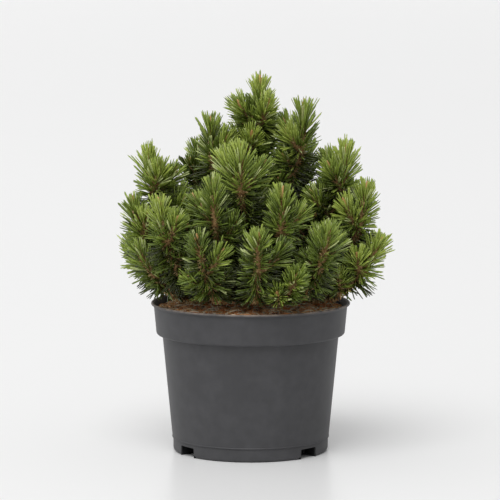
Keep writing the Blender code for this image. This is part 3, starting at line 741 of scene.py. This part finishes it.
def fascicles(shoot, first, last, perMm, leans, lengths, radius, chance):
    # Pairs of needles round one axis, by the golden angle, from one share of it to another.
    count = int(last * shoot["length"] * perMm)
    steps = (np.arange(count) + chance.uniform(*needles["stepSpan"], count)) / count
    steps = 1 - (1 - steps) ** needles["crowding"]
    turns = chance.uniform(0, math.tau) + golden * np.arange(count)
    turns = turns + chance.normal(0, needles["turnSpread"], count)
    places, axis = shootPoints(shoot, first + (last - first) * steps)
    across, along = squareTo(unit(shoot["end"] - shoot["start"]))
    outward = np.outer(np.cos(turns), across) + np.outer(np.sin(turns), along)
    outward = unit(offAxis(outward, axis))
    lean = np.radians(np.interp(steps, needles["marks"], leans)
                      + chance.normal(0, needles["leanSpread"], count))
    heading = outward * np.sin(lean)[:, None] + axis * np.cos(lean)[:, None]
    size = np.interp(steps, needles["marks"], lengths) * chance.normal(1, needles["lengthSpread"], count)
    return {"foot": places + outward * radius * needles["footShare"], "heading": heading,
            "size": size, "steps": steps, "axis": axis}


def apexShare(shoot):
    # Where a shoot's stem ends and its bud begins, as a share of its length.
    return 1.0 - needles["apexBack"][shoot["kind"]] / shoot["length"]


def youngNeedles(shoot, chance):
    short, height = shoot["kind"] == "short", shoot["end"][2]
    # Low shoots stand more open than the top ones, on shorter needles.
    openness = np.interp(-height, -np.array(needles["openFromZ"]), needles["openness"])
    openness *= chance.normal(1, needles["opennessSpread"])
    scale = needles["shortScale"] if short else 1.0
    made = fascicles(shoot, needles["firstShare"], apexShare(shoot),
                     needles["shortPerMm" if short else "perMm"], np.array(needles["leans"]) * openness,
                     np.array(needles["lengths"]) * scale / math.sqrt(openness),
                     twigs["apexRadius"], chance)
    # Low shoots between the two sides get a deeper green tint: painted shade, where less light falls.
    paintedShade = height < needles["paintedShadeBelowZ"] and abs(shoot["end"][0]) < needles["paintedShadeWithin"]
    choices, shares = needles["youngTints"]
    first = chance.choice(choices, p=shares) + paintedShade
    # Needles on a shoot's foot part, and all on short inner shoots, get one tint deeper: painted shade.
    tint = np.where(made["steps"] > chance.uniform(*needles["paintedShadeFootTo"]), first, first + 1) + short
    drawn = chance.random(len(tint))
    tint = tint + (drawn < needles["duller"]) - (drawn > needles["brighter"])
    made["tint"] = np.clip(tint, 1, len(tints) - 1)
    # A few get the palest tint, as if they caught the light: a painted highlight.
    made["tint"][(drawn > needles["paintedHighlight"]) & (made["steps"] > needles["paintedHighlightFrom"])] = 0
    return made


def oldNeedles(axis, perMm, chance):
    leans, lengths = (np.interp(needles["marks"], (0, 1), needles[key])
                      for key in ("oldLeans", "oldLengths"))
    return fascicles(axis, 0.0, 1.0, perMm, leans, lengths, twigs["footRadius"], chance)


def growNeedles(boughs, shoots, chance):
    # Every pair of needles on the plant, each with the number of its tint.
    groups = []
    for shoot in shoots:
        if shoot["kind"] == "stem":
            made = oldNeedles(shoot, needles["stemPerMm"], chance)
            # Stem needles take the deep, shade and old tints: partly their age, partly painted shade
            # inside the crown.
            choices, shares = needles["stemTints"]
            made["tint"] = chance.choice(choices, size=len(made["steps"]), p=shares)
        else:
            made = youngNeedles(shoot, chance)
        groups.append(made)
    for bough in boughs:
        low, middle, high = alongCurve(bough["curve"], needles["limbShares"])
        limb = {"start": low, "end": high, "middle": 2 * middle - 0.5 * (low + high),
                "length": float(np.linalg.norm(high - low))}
        made = oldNeedles(limb, needles["limbPerMm"], chance)
        # Limb needles take the oldest tint: partly their age, partly painted shade inside the crown.
        made["tint"] = np.full(len(made["steps"]), len(tints) - 1)
        groups.append(made)
    return {key: np.concatenate([group[key] for group in groups]) for key in groups[0]}


def makeNeedles(pairs, chance):
    count = len(pairs["size"])
    across, along = squareTo(pairs["heading"])
    roll = chance.uniform(0, math.tau, count)[:, None]
    twinAxis = across * np.cos(roll) + along * np.sin(roll)
    half = math.radians(needles["twinAngle"])
    t = np.array(needles["stations"])[None, :, None]
    kept = []
    for side in (-1, 1):
        heading = unit(pairs["heading"] + side * math.tan(half) * twinAxis)
        outer = unit(offAxis(side * twinAxis, heading))
        wide = np.cross(outer, heading)
        arch = offAxis(pairs["axis"], heading)
        arch = arch * chance.normal(needles["arch"], needles["archSpread"], count)[:, None]
        arch = arch + wide * chance.normal(0, needles["swaySpread"], count)[:, None]
        size = (pairs["size"] * chance.normal(1, needles["twinSpread"], count))[:, None, None]
        lines = pairs["foot"][:, None] + heading[:, None] * size * t + arch[:, None] * t ** 2
        width = needles["halfWidth"] * chance.normal(1, needles["widthSpread"], count)
        radii = width[:, None] * np.array(needles["widths"])
        good = lines[:, :, 2].min(axis=1) > needles["lowestZ"]
        kept.append([values[good] for values in (lines, radii, wide, outer, pairs["tint"])])
    *swept, tint = (np.concatenate(values) for values in zip(*kept))
    for number, (label, hexText) in enumerate(tints.items()):
        # A pine needle: a waxy cuticle over green flesh, satin, with a soft long highlight.
        material = makePlain(f"waxyNeedle_{label}", hexText, 0.27, 1.45, 0.8, 0.15)
        chosen = np.flatnonzero(tint == number)
        for part, first in enumerate(range(0, len(chosen), needles["perPiece"]), start=1):
            sweptPiece(f"needles_{label}_{part}", swept, chosen[first:first + needles["perPiece"]],
                       needles["section"], material, massNodes)
    print("needles", len(tint))


def makeSheaths(pairs, chance):
    # A sheath round the foot of each pair.
    across, along = squareTo(pairs["heading"])
    t = np.array(sheaths["stations"])[None, :, None] * sheaths["length"]
    lines = pairs["foot"][:, None] + pairs["heading"][:, None] * t
    radii = np.tile(sheaths["radii"], (len(lines), 1))
    weathered = chance.random(len(lines)) < sheaths["weathered"]
    for label, hexText, some in (("pale", "#cfb07e", ~weathered), ("weathered", "#9a7449", weathered)):
        # Dry papery bracts, thin and matt, with a fine fibrous grain.
        material = makePlain(f"paperySheath_{label}", hexText, 0.8, 1.4, 0.6, 0.4)
        sweptPiece(f"needle_sheaths_{label}", (lines, radii, across, along), some, roundOutline(3),
                   material, massNodes)


def makeTwigs(shoots, chance):
    lines, radii, headings = [], [], []
    t = np.linspace(0, 1, twigs["stations"])
    for shoot in shoots:
        line, _ = shootPoints(shoot, t * (apexShare(shoot) + twigs["intoBud"]))
        short = shoot["kind"] == "short"
        thick = (twigs["shortRadius"],) * 2 if short else (twigs["footRadius"], twigs["apexRadius"])
        lines.append(line)
        radii.append(np.interp(t, (0, 1), thick) * (1 + twigs["uneven"] * chance.uniform(-1, 1, len(t))))
        headings.append(unit(shoot["end"] - shoot["start"]))
    # Green-brown bark of a shoot's first years, dull and finely ridged.
    material = makePlain("youngShootBark", "#8f7047", 0.75, 1.45, 1.2, 0.8)
    sweptPiece("shoot_stems", (np.array(lines), np.array(radii), *squareTo(np.array(headings))), ...,
               roundOutline(twigs["sides"]), material, massNodes)


# Buds have a length and a radius; each span holds the least and the most share of one.
buds = {
    "short": (5.5, 1.2), "common": (8.0, 1.8), "high": (12.0, 2.3), "top": (16.0, 2.7),
    "spans": ((0.9, 1.05), (0.9, 1.1)), "highZ": 245.0, "topCount": 2,
    "around": (4.5, 1.0), "aroundSpans": ((0.8, 1.2), (0.85, 1.1)), "aroundCount": 3,
    "aroundLean": 20, "aroundOut": 1.1,
    "profile": (0.72, 1.0, 1.0, 0.86, 0.62, 0.34), "scaleStep": 0.12, "tipFrom": 0.93, "sides": 8,
    "ridge": 0.07,
}


def makeBuds(shoots, chance):
    grown = []

    def addBud(foot, direction, size, spans):
        length, radius = (value * chance.uniform(*span) for value, span in zip(size, spans))
        grown.append((foot, direction, length, radius))

    lean = math.radians(buds["aroundLean"])
    for shoot in shoots:
        kind = shoot["kind"]
        if kind == "stem":
            continue
        (apex,), (direction,) = shootPoints(shoot, (apexShare(shoot),))
        # The longest candles stand on the top leaders, then on the other high shoots.
        rank = "high" if shoot["end"][2] > buds["highZ"] else "common"
        if kind == "leader" and shoot["owner"] < buds["topCount"]:
            rank = "top"
        addBud(apex, direction, buds["short" if kind == "short" else rank], buds["spans"])
        across, along = squareTo(direction)
        turn = chance.uniform(0, math.tau)
        for side in range(1 if kind == "short" else buds["aroundCount"]):
            angle = turn + math.tau * side / buds["aroundCount"]
            outward = across * math.cos(angle) + along * math.sin(angle)
            addBud(apex + outward * buds["aroundOut"],
                   outward * math.sin(lean) + direction * math.cos(lean),
                   buds["around"], buds["aroundSpans"])
    feet, directions, lengths, radii = (np.array(values) for values in zip(*grown))
    profile = np.repeat(buds["profile"], 2)[1:]
    scales = profile * (1 + buds["scaleStep"] * (1 - 2 * (np.arange(len(profile)) % 2)))
    t = np.append(np.linspace(0, buds["tipFrom"], len(profile)), 1.0)
    lines = feet[:, None] + directions[:, None] * (lengths[:, None] * t)[..., None]
    # Pine candle: brown scales under a film of resin, half glossy.
    material = makePlain("resinousBud", "#c2955f", 0.5, 1.5, 0.9, 0.6)
    sweptPiece("shoot_buds", (lines, radii[:, None] * np.append(scales, 0.0), *squareTo(directions)),
               ..., roundOutline(buds["sides"], buds["ridge"]), material, massNodes)


# Litter on the peat: insets and edges run from the pot's wall, a profile from end to end.

litter = {
    "fibres": {
        # Peat fibre: dry moss stems and rootlets, matt and straw to rust in colour.
        "finish": ("dryPeatFibre", 0.9, 1.4, 0.7, 0.4),
        "tints": {"_pale": ("#fdf0d4", 0.36), "_tan": ("#f0c48e", 0.34), "_red": ("#dd935c", 0.3)},
        "count": 3200, "inset": 2.5, "edge": 0.6, "rise": (0.05, 0.22), "law": "gamma",
        "sizes": (3.0, 2.6), "least": 2.5, "most": math.inf, "lift": 0.25,
        "bend": 0.22, "hump": (0.04, 0.3), "stations": (-0.5, -0.3, -0.1, 0.1, 0.3, 0.5),
        "thick": (0.4, 0.85), "profile": (0.5, 1, 1, 0.9, 0.6, 0), "section": roundOutline(3),
    },
    "crumbs": {
        # Peat crumb: a broken clod, matt, from near black to rust.
        "finish": ("peatCrumb", 0.95, 1.4, 0.6, 0.8),
        "tints": {"_dark": ("#8a6350", 0.3), "_brown": ("#c89a75", 0.4), "_rust": ("#ebb88a", 0.3)},
        "count": 3200, "inset": 2.0, "edge": 0.0, "tumble": 0.2, "law": "gamma", "sizes": (2.2, 0.62),
        "least": 0.7, "most": 2.4, "stations": (-0.8, 0.0, 0.8), "lift": 0.2, "thick": (0.7, 1.2),
        "profile": (0.55, 1.0, 0.0),
        "section": ((0, 1.0), (75, 0.8), (140, 1.1), (215, 0.85), (290, 1.05)),
    },
    "chips": {
        # Wood chip: split softwood, dry and straw coloured.
        "finish": ("splitWoodChip", 0.8, 1.45, 0.8, 0.6), "tints": {"": ("#dda975", 1.0)},
        "count": 440, "inset": 4.0, "edge": 1.0, "rise": (0.12, 0.2), "law": "uniform",
        "sizes": (4.5, 10), "least": 0.0, "most": math.inf, "stations": (-0.5, -0.42, 0.4, 0.5),
        "lift": 0.7, "thick": (0.8, 1.6), "profile": (0.6, 1.0, 0.9, 0.0),
        "section": ((20, 1.0), (160, 1.0), (200, 0.95), (340, 1.05)),
    },
}


def onPeat(body, count, reach, chance):
    # Seeded places on the peat's own surface, clear of the trunk.
    dropZ, clearShare = 0.16, 0.02
    places = []
    while len(places) < count:
        radius = reach * math.sqrt(chance.uniform(clearShare, 1.0))
        turn = chance.uniform(0, math.tau)
        start = (radius * math.cos(turn) * mm, radius * math.sin(turn) * mm, dropZ)
        hit, spot, _, _ = body.ray_cast(start, (0, 0, -1))
        if hit:
            places.append((spot.x / mm, spot.y / mm, spot.z / mm))
    return np.array(places)


def strew(name, kind, share, material, body, peatRim, chance):
    # Long things lie near the level; crumbs, with no rise, tumble any way and are as thick as long.
    lies = "rise" in kind
    count = int(kind["count"] * share)
    places = onPeat(body, count, peatRim - kind["inset"], chance)
    if lies:
        turn = chance.uniform(0, math.tau, count)
        heading = np.stack((np.cos(turn), np.sin(turn), chance.normal(*kind["rise"], count)), axis=1)
    else:
        heading = chance.normal(0, 1, (count, 3)) + up * kind["tumble"]
    heading = unit(heading)
    across, along = squareTo(heading)
    size = (chance.gamma if kind["law"] == "gamma" else chance.uniform)(*kind["sizes"], count)
    size = np.minimum(size + kind["least"], kind["most"])[:, None, None]
    t = np.array(kind["stations"])[:, None]
    lines = places[:, None] + heading[:, None] * size * t + up * kind["lift"]
    if "bend" in kind:
        bend = chance.normal(0, kind["bend"], count)[:, None, None]
        hump = chance.uniform(*kind["hump"], count)[:, None, None]
        lines = lines + size * (across[:, None] * bend * t ** 2 + up * hump * (0.5 - 2 * t ** 2))
    thick = chance.uniform(*kind["thick"], (count, 1 if lies else len(t)))
    radii = thick * kind["profile"] * (1.0 if lies else size[:, 0])
    good = np.hypot(lines[..., 0], lines[..., 1]).max(axis=1) < peatRim - kind["edge"]
    sweptPiece(name, (lines, radii, across, along), good, kind["section"], material,
               smooth="bend" in kind)


def makeLitter(body, peatRim, chance):
    for plural, kind in litter.items():
        finish, *look = kind["finish"]
        for label, (hexText, share) in kind["tints"].items():
            material = makePlain(finish + label, hexText, *look)
            strew(f"peat_{plural}{label}", kind, share, material, body, peatRim, chance)


# Studio

studio = {
    "cameraAt": (0.0, -2.877, 0.5346), "cameraTilt": 90 - 6.79, "focalLength": 218.86,
    "shiftPixels": -0.6, "frame": 500, "clipEnd": 60,
    "floorRadius": 18.0, "floorSides": 96, "coveWidth": 2.0, "coveHeight": 0.6,
    "floorHex": "#e8e8e8", "floorRoughness": 0.3, "leftStrength": 1.0, "rightStrength": 0.36,
    "keyStrength": 1.95, "keyAngle": 42, "keyTurn": (32, 0, -16),
}


def makeStudio():
    bpy.context.scene.view_settings.view_transform = "Standard"
    bpy.ops.object.camera_add(location=studio["cameraAt"],
                              rotation=(math.radians(studio["cameraTilt"]), 0, 0))
    camera = active()
    camera.data.lens = studio["focalLength"]
    camera.data.shift_x = studio["shiftPixels"] / studio["frame"]
    camera.data.clip_end = studio["clipEnd"]
    bpy.context.scene.camera = camera
    bpy.ops.mesh.primitive_circle_add(vertices=studio["floorSides"], radius=studio["floorRadius"],
                                      fill_type="NGON")
    editWhole()
    bpy.ops.mesh.inset(thickness=studio["coveWidth"])
    selectFaces("INVERT")
    bpy.ops.transform.translate(value=(0, 0, studio["coveHeight"]))
    floor = closeEdit()
    floor.name = "studio_floor"
    # Satin painted board: even and pale, with a dim sheen that shows the pot's foot.
    material, *_ = startMaterial("satinPaintedBoard", studio["floorHex"], studio["floorRoughness"], 1.42)
    floor.data.materials.append(material)
    world = bpy.data.worlds.new("studioLight")
    bpy.context.scene.world = world
    world.use_nodes = True
    # The room is brighter on the left, as from a wide window there.
    across = addNode(world, "SeparateXYZ", links={"Vector": addNode(world, "TexCoord")})
    strength = addNode(world, "MapRange", {"From Min": -1.0, "From Max": 1.0,
                                           "To Min": studio["leftStrength"],
                                           "To Max": studio["rightStrength"]}, {"Value": across})
    background = world.node_tree.nodes["Background"]
    background.inputs["Color"].default_value = (1, 1, 1, 1)
    link(world, background, {"Strength": strength})
    bpy.ops.object.light_add(type="SUN", location=(0, 0, 3),
                             rotation=[math.radians(turn) for turn in studio["keyTurn"]])
    lamp = active()
    lamp.name = "key"
    lamp.data.energy = studio["keyStrength"]
    lamp.data.angle = math.radians(studio["keyAngle"])
    print("studio made")


makeStudio()
# The second, near-black copy of the pot plastic is painted shade, for the pockets behind the slots.
makePot(makePotPlastic("satinMouldedPolypropylene", "#3a3a3c", "#424244"),
        makePotPlastic("paintedShadeMouldedPolypropylene", "#141415", "#19191a"))
peatBody, peatRim = makeSoil(makePeat())
boughPlan = planBoughs()
shootPlan = growShoots(boughPlan)
makeTrunk(makeBark("scalyTrunkBark", "#7b6451", "#54412f", "#241a13", 3.2))
makeBoughs(boughPlan, makeBark("scalyBoughBark", "#83694f", "#5a4433", "#2a1e16", 2.4))
seeded = np.random.default_rng(growth["seed"] + 1)
needlePairs = growNeedles(boughPlan, shootPlan, seeded)
makeNeedles(needlePairs, seeded)
makeSheaths(needlePairs, seeded)
makeTwigs(shootPlan, seeded)
makeBuds(shootPlan, seeded)
makeLitter(peatBody, peatRim, seeded)
